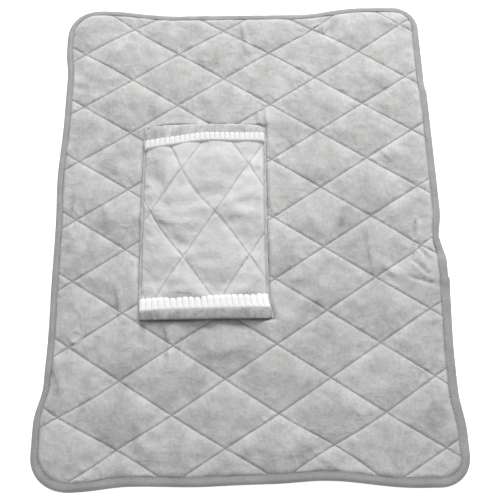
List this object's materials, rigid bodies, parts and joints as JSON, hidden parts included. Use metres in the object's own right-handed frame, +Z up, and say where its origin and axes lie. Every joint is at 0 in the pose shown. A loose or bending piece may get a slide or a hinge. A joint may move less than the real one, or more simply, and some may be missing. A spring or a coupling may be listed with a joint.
{
  "type": "heated lap blanket",
  "caption": "Quilted grey velvet heated lap blanket with bound edges, rounded corners and a sewn-on hand pocket trimmed with white plush, shown lying flat.",
  "frame": {"origin": "middle of the underside, where the blanket rests on a flat surface", "axes": "+X across the blanket towards the edge with the power inlet, +Y along its length towards the end nearer the pocket, +Z up through the face"},
  "size_m": [0.6, 0.79, 0.0308],
  "materials": {
    "grey_velvet": "matte",
    "grey_binding": "matte",
    "white_plush": "matte",
    "white_wadding": "matte",
    "heater_nonwoven": "matte",
    "wire_insulation": "satin",
    "black_plastic": "satin",
    "ceramic_body": "matte",
    "steel": "satin",
    "brass_pins": "satin"
  },
  "bodies": {
    "middle_panel": {"back_fabric_middle": "grey_velvet", "back_wadding_middle": "white_wadding", "edge_binding_left": "grey_binding", "edge_binding_right": "grey_binding", "face_fabric_middle": "grey_velvet", "face_wadding_middle": "white_wadding", "fuse_lead": "wire_insulation", "heater_carrier_middle": "heater_nonwoven", "heating_wire_middle": "wire_insulation", "inlet_housing": "black_plastic", "inlet_pin_front": "brass_pins", "inlet_pin_rear": "brass_pins", "inlet_rear_cap": "black_plastic", "pocket_face_fabric": "grey_velvet", "pocket_hem_lower": "grey_binding", "pocket_hem_upper": "grey_binding", "pocket_lining": "grey_velvet", "pocket_seam_left": "grey_binding", "pocket_seam_right": "grey_binding", "pocket_trim_lower": "white_plush", "pocket_trim_upper": "white_plush", "pocket_wadding": "white_wadding", "return_lead": "wire_insulation", "supply_lead": "wire_insulation", "thermal_fuse": "ceramic_body", "thermostat_bimetal": "steel", "thermostat_cap": "steel", "thermostat_case": "black_plastic", "thermostat_lead": "wire_insulation"},
    "upper_flap": {"back_fabric_upper": "grey_velvet", "back_wadding_upper": "white_wadding", "edge_binding_upper": "grey_binding", "face_fabric_upper": "grey_velvet", "face_wadding_upper": "white_wadding", "heater_carrier_upper": "heater_nonwoven", "heating_wire_upper": "wire_insulation"},
    "lower_flap": {"back_fabric_lower": "grey_velvet", "back_wadding_lower": "white_wadding", "edge_binding_lower": "grey_binding", "face_fabric_lower": "grey_velvet", "face_wadding_lower": "white_wadding", "heater_carrier_lower": "heater_nonwoven", "heating_wire_lower": "wire_insulation"}
  },
  "joints": [
    {"name": "upper_fold", "type": "hinge", "parent": "middle_panel", "child": "upper_flap", "pos_m": [0, 0.1985, 0.0232], "axis": [1, 0, 0], "range_deg": [0, 178]},
    {"name": "lower_fold", "type": "hinge", "parent": "middle_panel", "child": "lower_flap", "pos_m": [0, -0.1985, 0.0232], "axis": [-1, 0, 0], "range_deg": [0, 178]}
  ]
}
